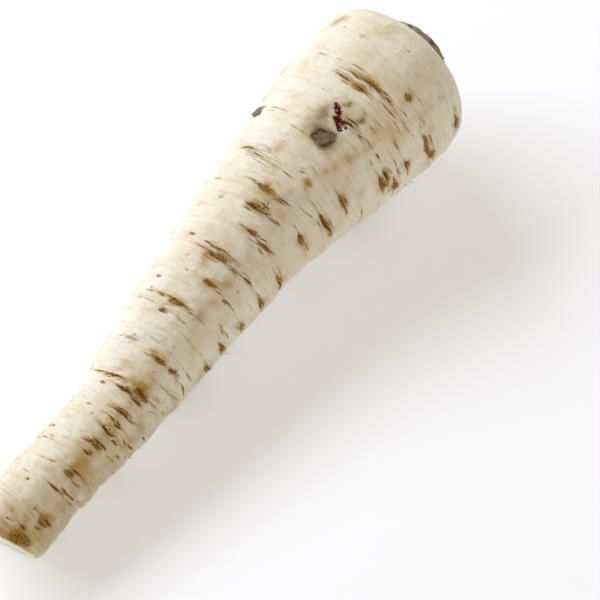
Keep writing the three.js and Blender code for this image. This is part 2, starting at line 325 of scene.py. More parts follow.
# Each corky scar: distance, angle, half length, half span, how corky, how dark its edge, drift.
SCARS = [
    (-1.2, 52, 1.6, 17, .85, .6, .9), (1.3, 44, .8, 6, .5, .5, .5), (6.5, 61, 1.3, 12, .7, .9, .4),
    (19.4, 35, .9, 9, .75, .6, .2), (26.8, 36, .7, 5, .5, .4, .3), (29.5, 32, .7, 15, .5, .15, 0),
    (34.6, 34, .7, 13, .7, .3, .2), (37, 36, .9, 11, .4, .3, .1), (40.2, 33, .7, 12, .6, .35, .2),
    (46.6, 38, 1.3, 12, .8, .4, .1), (45.6, 16, .5, 12, .35, .5, .1), (47, -13, .9, 13, .35, .3, .3),
    (56.9, 32, .75, 8, .6, .5, .1), (57.3, 52, .55, 6, .7, .8, .2), (58, -18, .5, 5, .35, .3, .2),
    (66.4, 96, .9, 12, .7, .6, .8), (69, -2, .5, 3, .35, .3, 0), (72.6, 6, .85, 11, .85, .6, .4),
    (72.6, 86, .8, 9, .8, .6, .4), (82, 22, .8, 8.5, 1, .8, .4), (81.3, 87, .9, 8, .75, .4, .2),
    (89.5, 14, .8, 11, 1, .9, .3), (91.4, 10, .55, 6, .7, .5, .1), (89.8, 85, .9, 9, .9, .6, .1),
    (98.2, 86, .9, 9, .75, .5, .4), (99.7, 44, .7, 5, .6, .5, 0), (100.8, 26, .8, 7, .75, .5, .4),
    (107.1, 15, .9, 12, .9, .8, .3), (109, 21, 1.3, 1.8, .7, .4, 0), (112.7, 11, 1.1, 10, .85, .7, .2),
    (110, 67, .7, 6, .8, .7, -.5), (118.8, 72, 1, 10, .9, .8, .4), (118.7, 86, 1.2, 6, .35, .1, 0),
    (126.5, 66, 1.1, 7, .8, .5, 0), (139, 79, .9, 7, .9, .8, .2), (140.7, 75, .5, 6, 1, 1, .2),
    (142.8, 91, 1, 6, .95, .6, .2), (147.8, 80, 1.3, 6, .6, .35, .2), (150, 14, .6, 6, .75, .5, .2),
    (153.3, 19, .8, 7, .8, .5, .1), (155.2, 80, .9, 8, .6, .4, .2), (156.6, 89, .9, 5, .9, .5, .3),
    (157.7, 40, 1.1, 3.4, .8, 0, 0), (168, 85, 1.1, 8, .55, .5, .2),
]
# Soft stains: distance, angle, half length, half span, strength.
OCHRE = [
    (-1.3, 49, 2.4, 18, 1.1), (-3.4, 42, 1.6, 34, .8), (-1.5, 72, 1.5, 12, .5), (0, 60, 5, 40, .45),
    (12, 40, 8, 30, .3), (2, 15, 2.4, 14, .5), (6.5, 60, 2.8, 16, .7), (16, 45, 2.2, 20, .3),
    (22.5, 42, 3.4, 22, .6), (29, 35, 7, 24, .45), (34.5, 35, 2.6, 20, .5), (47.5, 32, 3.2, 18, .8),
    (51, 35, 4, 14, .35), (54.3, 17, 1, 3, .3), (57, 32, 2, 14, .4), (62.8, 22, .9, 3, .4),
    (75, 37, 6, 8, .35), (72.7, 6, 1.8, 12, .4), (81.9, 22, 2, 12, .4), (84.5, 2, 3, 6, .4),
    (85, 36, 2.5, 7, .5), (88, 3, 4.5, 6, .5), (91, 10, 2.2, 12, .5), (93.5, 8, 3.5, 7, .3),
    (98.2, 86, 1.8, 12, .5), (101, 27, 2, 10, .4), (104.7, -22, .5, 2, .9), (105.5, -21, 1.4, 4, .3),
    (108.5, 15, 4.5, 20, .5), (110, 35, 3, 8, .25), (113, 12, 2, 11, .5), (118.9, 72, 2, 11, .5),
    (121.3, 33, 1.2, 4, 1.4), (123.5, -3, 6, 7, .3), (126.5, 66, 1.6, 8, .8), (132.5, 40, 3, 4, .6),
    (138.9, 17, .5, 1.6, 1), (143, 17, 4.5, 13, .15), (139, 80, 1.5, 9, .6), (142.5, 90, 2.5, 8, .6),
    (147, 45, 4, 4, .4), (147.8, 80, 1.8, 7, .6), (150, 10, 2, 10, .4), (153.4, 15, 2, 10, .6),
    (156.6, 88, 1.6, 6, .7), (157.7, 40, 1.3, 4, 1), (159, 68, 1.5, 5, .4), (160, 55, 8, 6, .3),
    (163.2, -10, .7, 2, .6), (167, -38, 2.6, 8, .5), (168.5, -4, 5, 9, .35), (169, -68, 4, 10, .5),
    (156.8, 56, 1, 4, .4), (159, 69, 1.4, 5, .45), (156.2, 74, 1.4, 5, .45), (147.2, 55, 1.2, 9, .42),
    (144.5, 43, 1.6, 7, .42), (137.5, 40, 1.2, 4, .55), (133.8, 43, 1.4, 4, .45),
    (150.2, 53, 1, 6, .35),
]
# Broad smoky tan clouds: distance, angle, half length, half span, strength.
CLOUDS = [
    (-1, 15, 5, 14, .8), (-2, 55, 5, 40, 1.1), (30, 95, 34, 14, .8), (10, 86, 16, 24, 1.2),
    (4, -5, 5, 12, .25), (11, 20, 8, 14, .3), (3, 60, 4, 20, .5), (8, 76, 13, 28, 1.1),
    (8, 45, 6, 26, .7), (20, 62, 9, 20, 1.2), (25, 80, 14, 28, 1), (22, 42, 4, 22, .5),
    (27, 20, 10, 12, .35), (31, 42, 6, 22, .55), (40, 78, 12, 26, .85), (33, 60, 8, 14, .5),
    (46, 38, 5, 16, .6), (48, 52, 6, 12, .4), (52, 88, 10, 20, .55), (60, 36, 8, 14, .3),
    (64, 20, 8, 10, .3), (64, 94, 7, 14, .5), (75, 36, 7, 8, .4), (72.5, -25, 2, 12, .3),
    (86, 6, 6, 9, .5), (92, 12, 5, 10, .4), (84, 36, 5, 9, .4), (93, 36, 4, 8, .3),
    (101, 18, 4, 8, .35), (108, 30, 5, 12, .35), (114, 28, 3, 5, .5), (105, 38, 4, 6, .4),
    (124, -2, 6, 8, .35), (133, 4, 7, 7, .7), (138, 6, 4, 6, .9), (138, 14, 9, 14, .6),
    (144.3, 20, 1.8, 8, .5), (134, 16, 4.2, 13, 1), (141, 26, 3, 6, .6), (128, 12, 6, 12, .35),
    (152, -4, 6, 10, .25), (158, 5, 8, 12, .3), (168, 0, 5, 12, .4), (166, -38, 3, 8, .6),
    (162, -45, 4, 10, .3), (170, 60, 6, 12, .3), (130, 70, 14, 20, .25), (118, 40, 10, 16, .2),
]
# Rings round healed spots: distance, angle, half length, half span, strength.
RINGS = [(144, 21.5, 2.1, 7.5, 1)]
# Bunches of fine creases: distance, angle, half length, half span, strength.
BUNCHES = [
    (-1, 48, 3, 18, 1), (7, 60, 2.5, 14, .9), (16.5, 45, 2.5, 26, .6), (21, 38, 3, 18, .6),
    (29.8, 34, 3, 20, .8), (35, 34, 2.5, 20, .8), (37, -20, 2, 22, .5), (40, 30, 2.4, 16, .7),
    (46, 22, 3, 24, 1), (47, -14, 2, 16, .7), (57.5, 36, 2.2, 22, .7), (58, -16, 2, 14, .6),
    (66.5, 90, 2.5, 22, .8), (72.5, 18, 2.4, 26, .8), (75, 70, 3, 20, .6), (82, 34, 2.6, 26, .8),
    (90, 30, 3, 34, 1), (99.5, 40, 3, 30, .8), (107.5, 24, 3, 24, .9), (112.5, 18, 3, 22, .9),
    (110, 74, 3, 18, .8), (119, 74, 2.6, 18, .8), (120, -12, 3, 26, 1), (131.5, -48, 3, 14, .6),
    (141.5, 36, 3, 26, .8), (141, 80, 4, 18, .8), (148, 78, 3, 12, .6), (151.5, 18, 3.4, 32, .85),
    (156, 78, 2.5, 20, .9), (168, 84, 3, 14, .6), (167, -40, 3, 14, .5),
]
# Grey bruises and dried scabs: distance, angle, half length, half span, strength.
GREY = [
    (11, 0, .5, 2.5, .5), (24.2, -24, .5, 8, .25), (37, -13, .5, 6, .35), (44, -15, .5, 5, .45),
    (58, -18, .6, 6, .3), (69, -2, .7, 4, .6), (73.8, -29, .5, 2, .4), (77.5, -30, .5, 4, .5),
    (82, -5, .4, 2, .4), (91.9, -23, .5, 4, .5), (120, -22, 2, 18, .12), (132.2, -52, 1.3, 5, 1.4),
    (132.7, -59, 1, 6, 1.4), (133.1, -69, .6, 6, 1.3), (134.2, 17, 4, 13, .36), (138.6, 8, 4.5, 7, .3),
    (140.5, 17, 3, 9, .25), (133.3, 17.5, 2.1, 7.5, 1), (134.6, 21, 1.8, 5, .9), (132.2, 13, 1, 3, .9),
    (168, 85, 1.5, 9, .3),
]
# Old wounds that healed dark red, given as the bruises are.
WOUNDS = [
    (89.6, 13, .4, 1.5, .7), (89.2, 22, .4, 1.5, .6), (142.9, 9, .5, 2.2, 1), (142.2, 12, .7, 2.6, 1),
    (141.5, 14.5, .75, 2.2, 1), (140.9, 17, .45, 1.8, .9), (139.6, 15.5, .8, 2.4, 1),
    (139.6, 18.5, 1, 3, 1), (140.2, 21.5, .75, 2.6, 1), (138.7, 20, .9, 2.6, 1),
    (138, 22.5, .6, 1.8, .9), (139.4, 24, .7, 2, .8), (141, 25.5, .4, 3.4, .85),
    (140.7, 35, .4, 1.3, .6),
]
# Scratches and drifts of colour: where each starts and ends, its half width and its strength.
SCRATCHES = [
    (75, 47, 80, 49, .25, .35), (82, 46, 86, 52, .25, .45), (91, 46, 98, 54, .25, .4),
    (97, 54, 103, 58, .25, .25),
]
OCHRE_DRIFTS = [
    (113, 25, 125, 35, 1, .36), (125, 35, 133, 42, 1.3, .52), (133, 42, 150, 50, 1.3, .42),
    (150, 50, 168, 59, 1.2, .35),
]
# Pores left by side roots: distance, angle, radius.
PORES = [
    (11, 0, .4), (21.3, 47, .4), (21, 65, .4), (26.5, 35, .5), (35.2, 1, .4), (53.2, 32, .4),
    (59.1, -12, .45), (62.2, 33, .35), (85.8, -14, .35), (133.4, -50, .45), (86, 52, .4),
    (83.8, 62, .35), (92, -25, .4), (82, -6, .3), (134.3, -6, .4), (128.3, -5, .4), (144.9, -21, .4),
    (157.3, 61, .5), (165.2, 57, .5), (167.3, 20, .4), (164, -27, .35), (163, -10, .35),
]

# The sides that lie underneath and behind carry the same kinds of mark, scattered by a fixed seed.
HIDDEN_SCARS = 46
HIDDEN_GROOVES = 80
HIDDEN_PORES = 36
scatter = random.Random(41)
for _ in range(HIDDEN_SCARS):
    place, middle, size = scatter.uniform(6, 164), scatter.uniform(118, 276), scatter.uniform(.4, 1)
    SCARS.append((place, middle, .5 + .6 * size, 4 + 9 * size, .4 + .5 * size, .3 + .5 * size,
                  scatter.uniform(-.4, .5)))
    OCHRE.append((place + 1, middle, 1.5 + 2.5 * size, 8 + 9 * size, scatter.uniform(.2, .6)))
    CLOUDS.append((place, middle + 10, 3 + 6 * size, 10 + 12 * size, scatter.uniform(.2, .7)))
for _ in range(HIDDEN_GROOVES):
    GROOVES.append((scatter.uniform(4, 170), scatter.uniform(116, 278), scatter.uniform(6, 22),
                    scatter.uniform(.12, .45), scatter.uniform(.2, .8), scatter.uniform(-.4, .6)))
    BUNCHES.append((GROOVES[-1][0], GROOVES[-1][1], 2.5, 18, scatter.uniform(.3, .9)))
for _ in range(HIDDEN_PORES):
    PORES.append((scatter.uniform(4, 172), scatter.uniform(112, 284), scatter.uniform(.3, .5)))

# Long folds ring the root every few millimetres, fainter where it is broadest, short wrinkles
# gather beside the scars, and faint ones lie anywhere.
FAINT_WRINKLES = 230
BROADEST_FROM = 145
FOLDS = []
place = 2.2
while place < 166:
    fading = 1 if place < BROADEST_FROM else .6
    FOLDS.append((place, scatter.uniform(-180, 180), scatter.uniform(45, 120),
                  scatter.uniform(.12, .3), scatter.uniform(.35, .7) * fading,
                  scatter.uniform(-1.5, 1.5)))
    place += scatter.uniform(1.6, 4.2)
for place, middle, half_length, half_span, corky, dark, drift in SCARS:
    for _ in range(3):
        GROOVES.append((place + scatter.choice((-1, 1)) * (half_length + scatter.uniform(.1, 1)),
                        middle + scatter.uniform(-.9, .9) * half_span,
                        half_span * scatter.uniform(.3, .9), scatter.uniform(.1, .3),
                        dark * scatter.uniform(.1, .65), drift + scatter.uniform(-.2, .2)))
    for _ in range(2):
        GROOVES.append((place + scatter.uniform(-.6, .6) * half_length,
                        middle + scatter.uniform(-.8, .8) * half_span,
                        half_span * scatter.uniform(1.5, 3.2), .1,
                        (dark > .2) * scatter.uniform(.4, .75), drift / 2))
for _ in range(FAINT_WRINKLES):
    GROOVES.append((scatter.uniform(2, 172), scatter.uniform(-180, 180), scatter.uniform(5, 26),
                    scatter.uniform(.05, .16), scatter.uniform(0, .3), scatter.uniform(-.5, .5)))

# Uneven growth, coarser or finer: a sway, a wobble and a swing of the marks, ribs and bands round
# the root, and fine breaks.
sway, wobble, swing, ribs, bands, breaks = [
    grain(*straight.T, size, seed) for seed, size in enumerate([
        (5, 5, 5), (2.2, 3, 3), (6, 6, 6), (1.3, 8, 8), (3.2, 13, 13), (.9, 2.4, 2.4)])]
stray = distance + .4 * sway + .35 * wobble
stray_angle = angle + 2.5 * swing + 90 / np.maximum(even, 4) * .12 * breaks

relief = broad_relief(distance, angle) + .1 * ribs + .15 * bands + .06 * sway
marks = {name: np.zeros(len(distance))
         for name in ("crack", "creased", "cork", "ochre", "smoky", "grey", "wound")}


def near(place, reach_out=6):
    """The corners close to a distance along the root, which is all that one mark touches."""
    return np.flatnonzero(~on_face & (np.abs(distance - place) < reach_out))


def deepen(name, spots, amount):
    marks[name][spots] = np.maximum(marks[name][spots], amount)


for place, middle, half_span, depth, dark, drift in GROOVES + FOLDS:
    spots = near(place)
    across = turn(middle, stray_angle[spots]) / half_span
    along = stray[spots] - place - drift * across
    ends = bell(across * across)
    # The skin steps down a little behind each groove, as one fold overlaps the next.
    relief[spots] += .55 * depth * ends * along * bell(along / 1.6)
    relief[spots] -= depth * ends * (bell(along / .5) - .45 * bell((abs(along) - 1.1) / .55))
    broken = np.clip(.95 + .8 * breaks[spots], 0, 1.3)
    if half_span > 34:
        broken *= np.clip(.6 + 1.3 * ribs[spots], 0, 1)
    deepen("crack", spots, min(1.2, .05 + 1.25 * dark) * ends * bell(along / .32) * broken)

for place, middle, half_length, half_span, corky, dark, drift in SCARS:
    spots = near(place)
    across = turn(middle, stray_angle[spots]) / half_span
    along = (stray[spots] - place - drift * across) / half_length
    lens_ = 1 - abs(along) ** 1.4 - across * across
    sunk = smooth(-.05, .5, lens_)
    relief[spots] -= .3 * corky * sunk - .22 * corky * bell((lens_ + .3) / .3)
    deepen("cork", spots, (.35 + .65 * corky) * smooth(-.9, .9, lens_))
    halo = bell(np.hypot(along / 2.6, across / 1.4))
    deepen("ochre", spots, .62 * corky * halo)
    deepen("creased", spots, min(1, .1 + dark) * bell(np.hypot(along / 3, across / 1.7)))
    for side, weight in ((1, 1), (-1, .6)):
        lip = (side * along + .75 * (1 - across * across)) * half_length
        tapering = bell((across / 1.3) ** 4)
        broken = np.clip(.85 + 1.3 * breaks[spots], 0, 1.3)
        deepen("crack", spots, weight * dark * tapering * bell(lip / .3) * broken)
        relief[spots] -= .25 * weight * dark * tapering * bell(lip / .4)

for name, stains in (("ochre", OCHRE), ("smoky", CLOUDS), ("grey", GREY), ("wound", WOUNDS),
                     ("creased", BUNCHES)):
    for place, middle, half_length, half_span, strength in stains:
        spots = near(place, 3 * half_length + 2)
        away = np.hypot((stray[spots] - place) / half_length,
                        turn(middle, stray_angle[spots]) / half_span)
        deepen(name, spots, strength * bell(away * .95))
        if name == "wound":
            relief[spots] -= .45 * strength * bell(away) - .2 * strength * bell((away - 1.3) / .4)

for place, middle, half_length, half_span, strength in RINGS:
    spots = near(place)
    away = np.hypot((stray[spots] - place) / half_length, turn(middle, stray_angle[spots]) / half_span)
    ring = strength * bell((away - 1) / .3) * np.clip(.7 + 1.2 * wobble[spots], 0, 1)
    deepen("ochre", spots, .4 * ring)
    deepen("smoky", spots, 1.2 * ring)
    deepen("grey", spots, .3 * ring)

for name, lines in (("crack", SCRATCHES), ("ochre", OCHRE_DRIFTS)):
    for start, start_angle, end, end_angle, half_width, strength in lines:
        spots = near((start + end) / 2, 14)
        share = np.clip((stray[spots] - start) / (end - start), -.2, 1.2)
        middle = start_angle + share * (end_angle - start_angle)
        off = np.radians(turn(middle, stray_angle[spots])) * even[spots] / half_width
        ends = smooth(-.1, .15, share) * (1 - smooth(.85, 1.1, share))
        deepen(name, spots, strength * bell(off) * ends * np.clip(.95 + .7 * wobble[spots], .75, 1))

for place, middle, size in PORES:
    spots = near(place, 3)
    off = np.hypot(distance[spots] - place,
                   np.radians(turn(middle, angle[spots])) * even[spots]) / (.85 * size)
    relief[spots] -= .2 * bell(off)
    deepen("crack", spots, .8 * bell(off))
    deepen("ochre", spots, .4 * bell(off / 2.2))

# ---- the marks and the form go into the mesh ----
skin_radius = even + reach * relief - SKIN_SUNK
ring_of_cut = .1 * bell((face_share - CUT_RING_AT) / .05) + .05 * wobble
worn = RIM_WORN_BY * np.clip(1 - (distance - rim_at) / RIM_WORN_OVER, 0, 1) ** 2.5
out_by = np.where(on_face, radius - CUT_FACE_INSET * face_share, skin_radius - on_body * worn)
out_by = np.maximum(out_by, 0)
place = onto_middle_line(out_by * np.sin(round_), distance, out_by * np.cos(round_))
place -= on_face[:, None] * (ring_of_cut + CUT_FACE_SUNK)[:, None] * trim_normal
solid_low, solid_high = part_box("root")
place = np.clip(place, np.array(solid_low) / MM, np.array(solid_high) / MM)
root_mesh.vertices.foreach_set("co", (place * MM).ravel())

marks["cut"] = np.where(on_face, 1.0, 0.0)
marks["ochre"] += on_face * bell(turn(74, angle) / 30) * smooth(.3, .9, face_share)
marks["share"] = face_share
for name, values in marks.items():
    root_mesh.attributes.new(name, "FLOAT", "POINT").data.foreach_set("value", values)
straight_mark = root_mesh.attributes.new("straight", "FLOAT_VECTOR", "POINT")
straight[:, 0] = np.where(on_face, distance, stray)
straight_mark.data.foreach_set("vector", straight.ravel())

tap_root = set_out(closed_up(root_mesh))


# ---- the skin: waxy cream with girth-wise grain, stained, scarred and bruised ----
# The helpers work on `tree`, the node tree in hand.
def set_inputs(made, inputs):
    """Sets each of a node's inputs, or links it where it is given a socket."""
    for name, value in inputs.items():
        if isinstance(value, bpy.types.NodeSocket):
            made.id_data.links.new(value, made.inputs[name])
        else:
            made.inputs[name].default_value = value


def wire(kind, inputs, out=0, **settings):
    """Adds a node and gives back one of its outputs."""
    made = tree.nodes.new(kind)
    for name, value in settings.items():
        setattr(made, name, value)
    set_inputs(made, inputs)
    return made.outputs[out]


def sums(operation, *values):
    return wire("ShaderNodeMath", dict(enumerate(values)), operation=operation)


def times(first, second):
    return sums("MULTIPLY", first, second)


def off_from(value, middle):
    return sums("ABSOLUTE", sums("SUBTRACT", value, middle))


def step(value, low, high):
    ends = {"Value": value, "From Min": low, "From Max": high}
    return wire("ShaderNodeMapRange", ends, interpolation_type="SMOOTHSTEP")


def coated(colour, coats):
    """Lays coats over a colour, each given as its mask, its strength and its own colour."""
    for mask, strength, coat in coats:
        ends = {0: times(mask, strength), 6: colour, 7: coat}
        colour = wire("ShaderNodeMix", ends, out=2, data_type="RGBA")
    return colour


def effect(name, sockets_in, socket_out):
    """A shader node group with its inputs and its output named."""
    group = bpy.data.node_groups.new(name, "ShaderNodeTree")
    for socket, kind, value in sockets_in:
        made = group.interface.new_socket(socket, in_out="INPUT", socket_type="NodeSocket" + kind)
        if value is not None:
            made.default_value = value
    group.interface.new_socket(socket_out, in_out="OUTPUT", socket_type="NodeSocketFloat")
    return group, group.nodes.new("NodeGroupInput").outputs, group.nodes.new("NodeGroupOutput")


def new_finish(name):
    """A material, its node tree and its shader."""
    finish = bpy.data.materials.new(name)
    finish.use_nodes = True
    return finish, finish.node_tree, finish.node_tree.nodes["Principled BSDF"]


# Grain that is short along the root and long round it, with the sizes in millimetres.
girth_grain, given, result = effect(
    "Girth grain",
    [("Place", "Vector", None), ("Width", "Float", 1.0), ("Run", "Float", 8.0),
     ("Detail", "Float", 3.0), ("Contrast", "Float", 1.0)], "Grain")
tree = girth_grain
parts = wire("ShaderNodeSeparateXYZ", {0: given["Place"]}).node.outputs
scaled = wire("ShaderNodeCombineXYZ", {
    "X": sums("DIVIDE", parts["X"], given["Width"]), "Y": sums("DIVIDE", parts["Y"], given["Run"]),
    "Z": sums("DIVIDE", parts["Z"], given["Run"])})
clouds = wire("ShaderNodeTexNoise",
              {"Vector": scaled, "Scale": 1.0, "Detail": given["Detail"], "Roughness": .55})
centred = sums("SUBTRACT", clouds, .5)
set_inputs(result, {"Grain": sums("MULTIPLY_ADD", centred, given["Contrast"], .5)})

# A mark whose edge is frayed by a grain: it turns a soft field into a crisp mask, and leaves
# skin that has no mark clean.
frayed_mark, given, result = effect(
    "Frayed mark",
    [("Field", "Float", 0.0), ("Grain", "Float", .5), ("Fray", "Float", .5),
     ("Edge", "Float", .3), ("Softness", "Float", .3)], "Mask")
tree = frayed_mark
torn = times(sums("SUBTRACT", given["Grain"], .5), given["Fray"])
torn = times(given["Field"], sums("ADD", torn, 1))
soft_edge = sums("ADD", given["Edge"], given["Softness"])
set_inputs(result, {"Mask": step(torn, given["Edge"], soft_edge)})

IVORY = (.95, .915, .81, 1)
CREAM = (.86, .77, .57, 1)
TAN = (.62, .44, .20, 1)
OCHRE_STAIN = (.58, .355, .065, 1)
OLIVE_BROWN = (.44, .27, .055, 1)
SMOKY_TAN = (.50, .40, .21, 1)
CORK = (.46, .225, .025, 1)
GOLDEN_CORK = (.76, .52, .16, 1)
DARK_CORK = (.17, .058, .002, 1)
# The two groove colours are partly the skin's own brown and partly painted shade of the creases.
GROOVE_EDGE_TAN_AND_SHADE = (.54, .33, .08, 1)
GROOVE_BROWN_AND_SHADE = (.25, .105, .006, 1)
BRUISE = (.26, .225, .165, 1)
BRUISE_HALO = (.26, .18, .095, 1)
DARK_BRUISE = (.065, .035, .012, 1)
HEALED_RED = (.10, .004, .001, 1)
CUT_FLESH = (.96, .93, .84, 1)
CUT_RING = (.80, .68, .44, 1)

skin, tree, surface = new_finish("parsley_root_skin")


def mark(name, out="Fac"):
    return wire("ShaderNodeAttribute", {}, out, attribute_name=name)


straight_place = mark("straight", "Vector")


def grained(width, run, detail, contrast=1.0):
    return wire("ShaderNodeGroup", {"Place": straight_place, "Width": width, "Run": run,
                                    "Detail": detail, "Contrast": contrast},
                node_tree=girth_grain)


def frayed(name, grain_, fray, edge, softness):
    return wire("ShaderNodeGroup", {"Field": mark(name), "Grain": grain_, "Fray": fray,
                                    "Edge": edge, "Softness": softness},
                node_tree=frayed_mark)


# The grains of the skin, from the broadest to the finest.
cloudy = grained(11, 11, 2, 2.4)
blotchy = grained(3.6, 5, 3, 2.8)
along_fibre = grained(2.6, .4, 3, 3)
streaky = grained(1.2, 9, 3, 2.8)
freckled = grained(1.1, 1.6, 3, 2.6)
mottled = grained(.6, .7, 3, 2.8)
long_lines = grained(.45, 16, 2, 3)
fibre = grained(.42, 4, 3, 3)
crumbly = grained(.34, 1.3, 2, 3.2)
creases = grained(.3, 6.5, 2, 3.2)

# Its marks, their edges frayed by those grains.
along_root = wire("ShaderNodeSeparateXYZ", {"Vector": straight_place})
ochre = frayed("ochre", blotchy, .9, .02, .75)
grey = frayed("grey", mottled, .9, .2, .45)
rim = times(step(mark("grey"), .85, .5), step(mark("grey"), .28, .46))
scribble = step(off_from(freckled, .5), .09, .02)
specks = sums("MAXIMUM", times(step(mottled, .35, .6), rim),
              sums("MAXIMUM", times(step(along_fibre, .5, .85), .6), times(scribble, .7)))
crease = times(frayed("creased", creases, 2, .95, .5), .62)
cork = frayed("cork", mottled, 1.8, .45, .22)
slits = times(frayed("cork", fibre, 2.2, .95, .4), .6)
# The tan band beside each groove is partly stain and partly painted crease shade.
beside = times(frayed("crack", streaky, .9, .12, .6), step(grey, .6, .1))
crack = frayed("crack", fibre, 1.6, .62, .3)
wound = frayed("wound", mottled, .95, .31, .35)

skin_colour = coated(IVORY, [
    # The clean skin: ivory clouded with cream and tan, and a few thin tan lines that run far
    # round. The upper root is paler: partly cleaner skin, partly painted light in place of the fill
    # light that reaches it.
    (step(cloudy, .25, .95), 1, CREAM),
    (step(blotchy, .55, 1.1), .4, TAN),
    (step(streaky, .7, 1.1), .25, TAN),
    (step(mottled, .65, 1.1), .22, TAN),
    (times(step(long_lines, .85, 1.15), step(blotchy, .45, .85)), .55, TAN),
    (times(step(crumbly, .95, 1.2), step(streaky, .35, .75)), .5, OCHRE_STAIN),
    # Paler upper root: partly cleaner skin, partly painted light.
    (step(along_root, 45, 90), .36, IVORY),
    # Smoky tan clouds lie over it, soft at their edges.
    (frayed("smoky", blotchy, .8, 0, 1), .62, SMOKY_TAN),
    # Ochre soaks in softly and in blots.
    (ochre, .68, OCHRE_STAIN),
    (frayed("ochre", streaky, 1.5, .4, .6), .5, OLIVE_BROWN),
    (frayed("ochre", freckled, 1.6, .62, .3), .4, CORK),
    # Bruises are grey, with a brownish shade round them, a patchy dark rim, and a scribble of
    # dark fibres and specks that crowd to the rim.
    (frayed("grey", blotchy, .6, .04, .36), .82, BRUISE_HALO),
    (grey, .8, BRUISE),
    (times(rim, step(blotchy, .4, .7)), .75, DARK_BRUISE),
    (times(specks, grey), .8, DARK_BRUISE),
    # Fine creases gather in bunches.
    (crease, 1, OLIVE_BROWN),
    # Corky scars are rusty brown, with pale golden crumbs, dark specks between them and dark
    # slits.
    (cork, .85, CORK),
    (times(cork, step(crumbly, .45, .75)), .8, GOLDEN_CORK),
    (times(cork, step(crumbly, .42, .15)), .75, DARK_CORK),
    (slits, 1, DARK_CORK),
    # Dark brown lies in the grooves and tan beside them: partly the skin's own colour, partly painted
    # shade of the creases.
    (beside, .7, GROOVE_EDGE_TAN_AND_SHADE),
    (crack, .85, GROOVE_BROWN_AND_SHADE),
    (times(crack, grey), 1, DARK_BRUISE),
    # Old wounds are dark red, with a few pale crumbs, and pale flecks that are partly dry skin left in
    # them and partly painted glints.
    (wound, 1, HEALED_RED),
    (times(wound, step(crumbly, .8, 1)), .5, TAN),
    # Pale flecks: partly dry skin, partly painted glints.
    (frayed("wound", mottled, 2.6, 1.6, .3), .6, CREAM),
])

# The cut end shows pale, faintly grained flesh, with a darker ring and a browned edge.
share = mark("share")
flesh = coated(CUT_FLESH, [
    (step(off_from(share, CUT_RING_AT), .1, 0), .6, CUT_RING),
    (step(share, .93, 1), .8, OLIVE_BROWN),
    (step(grained(.8, .8, 3, 1.6), .55, .95), .3, TAN),
    (ochre, .6, TAN),
])

height = times(long_lines, .08)
for part, weight in ((streaky, .2), (blotchy, .18), (freckled, .06), (times(fibre, cork), .5),
                     (crease, -.2), (slits, -.25), (crack, -.25), (wound, -.2)):
    height = sums("ADD", height, times(part, weight))


def bumped(height, strength, deep):
    return wire("ShaderNodeBump", {"Height": height, "Strength": strength, "Distance": deep})


set_inputs(surface, {
    "Base Color": coated(skin_colour, [(mark("cut"), 1, flesh)]),
    "Roughness": sums("MULTIPLY_ADD", sums("MAXIMUM", cork, crack), .35, .46),
    "Normal": bumped(height, 1.0, .0009),
    "Specular IOR Level": .02,
    "Subsurface Weight": .02,
    "Subsurface Radius": (1, .6, .3),
    "Subsurface Scale": .0012})
tap_root.data.materials.append(skin)
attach(tap_root, "root")
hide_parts("root")

# ---------------------------------------------------------------------------------------------
# The crown: a low collar of old leaf-stalk bases, dried grey-brown and grown together at the
# foot. It sits in the shoulder's seat and spreads a little over the rim.

# Pairs of radius and height above the seat's rim.
COLLAR_PROFILE = [
    (8.8, -1.65), (10, -.7), (10.6, .5), (11.1, .9), (11, 1.4), (10.5, 1.9), (10.9, 2.6), (10.8, 3.3),
    (10.3, 3.8), (10.5, 4.5), (10.1, 5.2), (9.4, 5.5), (9, 4.4), (8.5, 3), (7.2, 2.4), (4, 1.6),
    (0, 1.5),
]
CROWN_OFFSET = -.8
COLLAR_ROWS = 110
COLLAR_COLUMNS = 190

collar_mesh, corners = rolled_net("crown_collar", COLLAR_COLUMNS, COLLAR_ROWS)
round_ = np.arctan2(corners[:, 0], corners[:, 1])
along = (corners[:, 2] + .5) * (len(COLLAR_PROFILE) - 1)
stations = list(enumerate(COLLAR_PROFILE))
collar_radius = through([(i, point[0]) for i, point in stations], along)
height_up = through([(i, point[1]) for i, point in stations], along)
free = smooth(.8, 2, height_up)
collar_radius += free * (.18 * np.cos(3 * round_ + 4.2) + .06 * np.sin(8 * round_ - 2 * height_up))
height_up += free * (.12 * np.cos(round_ - 1.1) + .08 * np.sin(2 * round_ + 1.9 * height_up))
wrapped = np.stack([height_up, 12 * np.sin(round_), 12 * np.cos(round_)], -1)
ridges = grain(along, wrapped[:, 1], wrapped[:, 2], (.55, 5, 5), 21)
clumps = grain(along, wrapped[:, 1], wrapped[:, 2], (1.4, 2.5, 2.5), 22)
outside = smooth(1.4, 2.6, along)
scaly = outside * (.32 * np.abs(ridges) + .25 * clumps - .22)
collar_radius = np.maximum(collar_radius + scaly, 0)
height_up += .25 * outside * clumps * smooth(0, 6, collar_radius)
place = onto_middle_line(CROWN_OFFSET + collar_radius * np.sin(round_), seat_rim_at + height_up,
                         collar_radius * np.cos(round_))
collar_mesh.vertices.foreach_set("co", (place * MM).ravel())
collar_mesh.attributes.new("straight", "FLOAT_VECTOR", "POINT").data.foreach_set(
    "vector", np.stack([along * 1.1, wrapped[:, 1], wrapped[:, 2]], -1).ravel())
# Painted shade: how far each spot of the collar is sunk among its scales.
collar_mesh.attributes.new("hollow_shade", "FLOAT", "POINT").data.foreach_set(
    "value", np.clip(.3 - 1.8 * scaly, 0, 1))
crown_collar = set_out(closed_up(collar_mesh))

